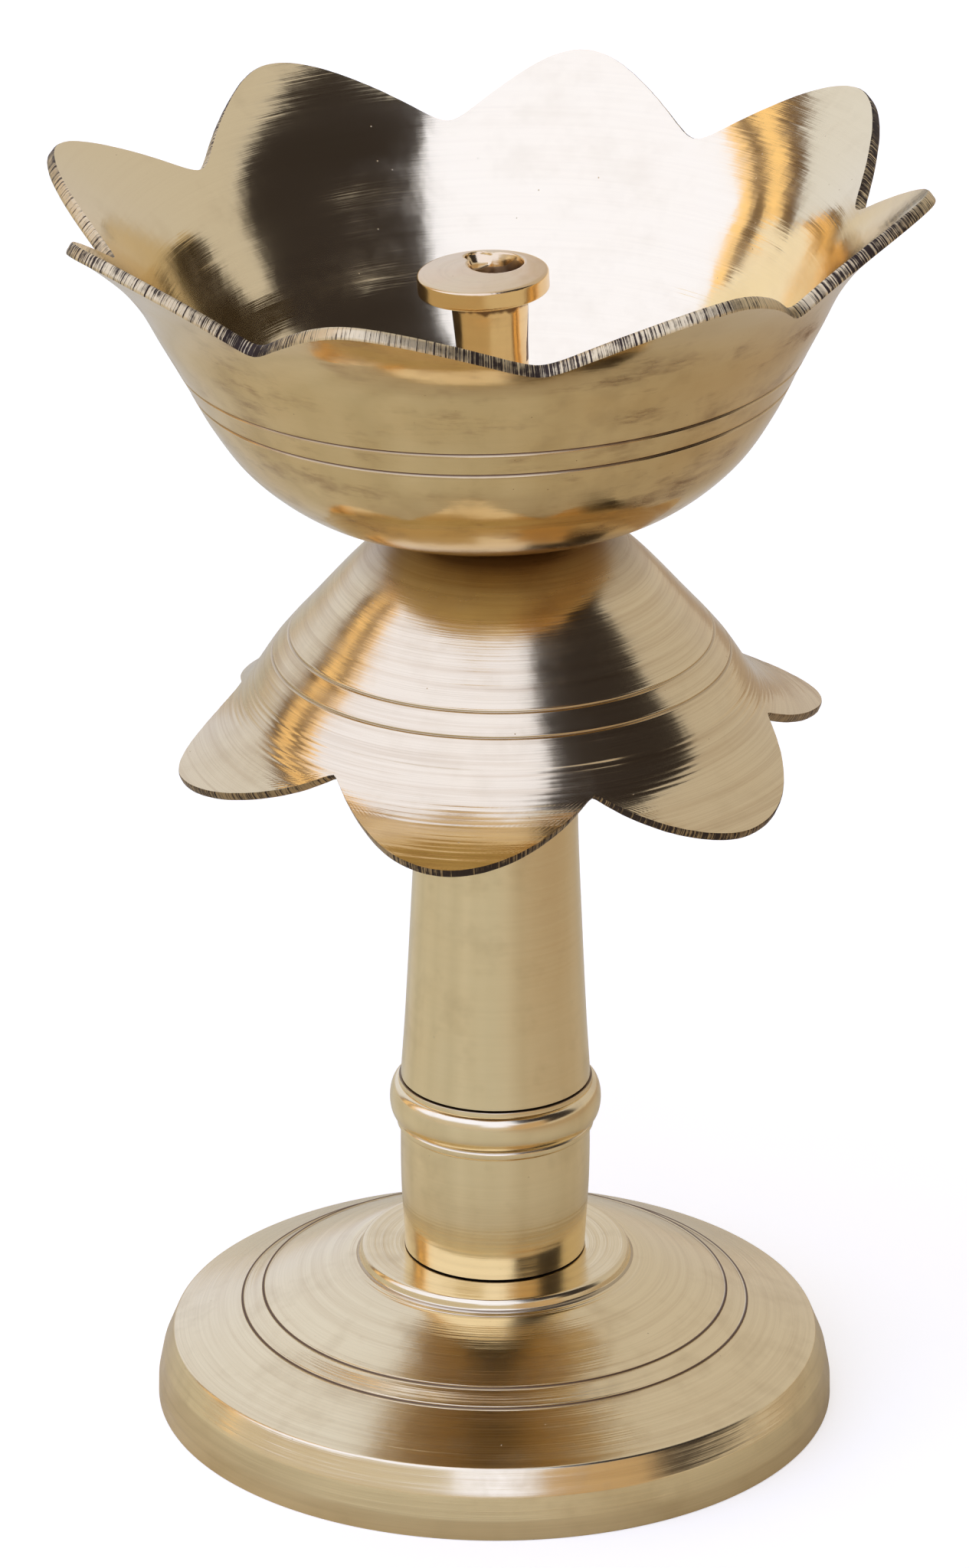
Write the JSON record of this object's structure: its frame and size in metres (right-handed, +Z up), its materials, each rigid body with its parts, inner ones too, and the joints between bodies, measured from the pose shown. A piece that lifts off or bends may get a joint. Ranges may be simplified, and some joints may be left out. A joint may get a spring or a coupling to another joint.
{
  "type": "standing oil lamp",
  "caption": "Brass standing oil lamp: a lotus oil bowl with a flanged wick holder and a petal skirt, stacked on a turned stem and a round hollow base.",
  "frame": {"origin": "centre of the foot of the base, on the surface that the lamp stands on", "axes": "+Z up along the stem, +X to the right and +Y away from a viewer in front of the lamp"},
  "size_m": [0.1181, 0.1121, 0.1812],
  "materials": {
    "turned_brass": "polished on a lathe, with fine turning marks",
    "cast_brass": "as cast and partly polished, warmer in colour",
    "plated_steel": "dull zinc plate",
    "seal_rubber": "matte"
  },
  "bodies": {
    "stand": {"base": "turned_brass", "tie_rod": "plated_steel", "flat_washer": "plated_steel", "spring_washer": "plated_steel", "base_nut": "plated_steel"},
    "lower_stem": {"lower_stem": "turned_brass"},
    "upper_stem": {"upper_stem": "turned_brass"},
    "skirt": {"petal_skirt": "turned_brass"},
    "bowl": {"oil_bowl": "turned_brass"},
    "seal": {"seal_washer": "seal_rubber"},
    "holder": {"wick_holder": "cast_brass"}
  },
  "joints": [
    {"name": "lower_stem_lift", "type": "slide", "parent": "stand", "child": "lower_stem", "axis": [0, 0, 1], "range_m": [0, 0.13]},
    {"name": "upper_stem_lift", "type": "slide", "parent": "lower_stem", "child": "upper_stem", "axis": [0, 0, 1], "range_m": [0, 0.108]},
    {"name": "skirt_lift", "type": "slide", "parent": "upper_stem", "child": "skirt", "axis": [0, 0, 1], "range_m": [0, 0.055]},
    {"name": "bowl_lift", "type": "slide", "parent": "skirt", "child": "bowl", "axis": [0, 0, 1], "range_m": [0, 0.04]},
    {"name": "wick_rise", "type": "slide", "parent": "bowl", "child": "seal", "axis": [0, 0, 1], "range_m": [0, 0.0151]},
    {"name": "wick_turn", "type": "hinge", "parent": "seal", "child": "holder", "pos_m": [0, 0, 0.15], "axis": [0, 0, 1], "range_deg": [0, 5400]}
  ],
  "couplings": [
    {"joint": "wick_rise", "follows": "wick_turn", "m_per_rad": 0.00015915}
  ]
}
